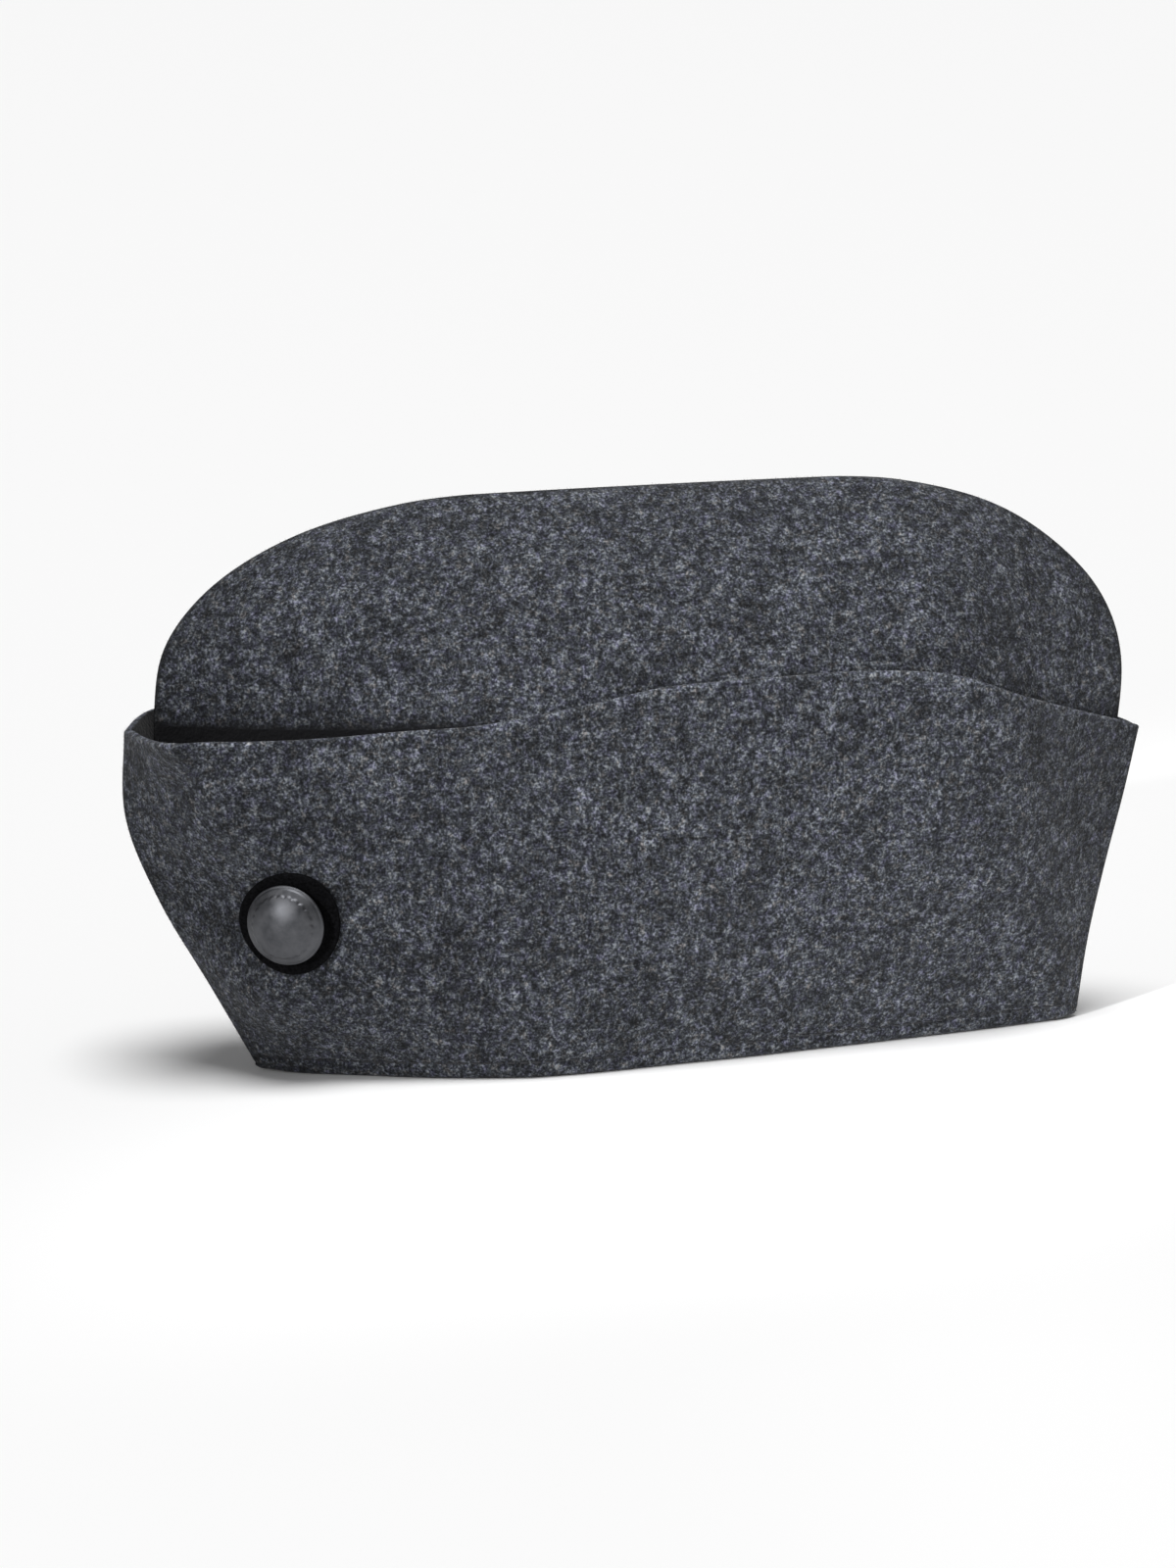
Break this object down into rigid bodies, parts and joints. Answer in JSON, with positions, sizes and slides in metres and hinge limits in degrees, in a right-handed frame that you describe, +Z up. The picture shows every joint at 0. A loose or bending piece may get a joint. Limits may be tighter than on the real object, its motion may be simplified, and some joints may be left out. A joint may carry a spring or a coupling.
{
  "type": "side cap",
  "caption": "Soft wool felt side cap with a crest seam along the crown, a turned-up curtain all round and a domed metal button on a black felt round; worn on the head.",
  "frame": {"origin": "middle of the cap's length and width at the plane of the rim, which is the lowest point", "axes": "+X towards the back of the cap, +Y towards the wearer's right, +Z up; the front is -X and the button is on -Y"},
  "size_m": [0.2908, 0.0856, 0.1592],
  "materials": {
    "wool": "napped grey-blue melange wool felt",
    "felt": "matt black felt",
    "metal": "dark gunmetal, half polished"
  },
  "bodies": {
    "root": {"crown_left": "wool", "crown_right": "wool", "curtain_left": "wool", "curtain_right": "wool", "button_backing": "felt", "button": "metal"}
  },
  "joints": []
}
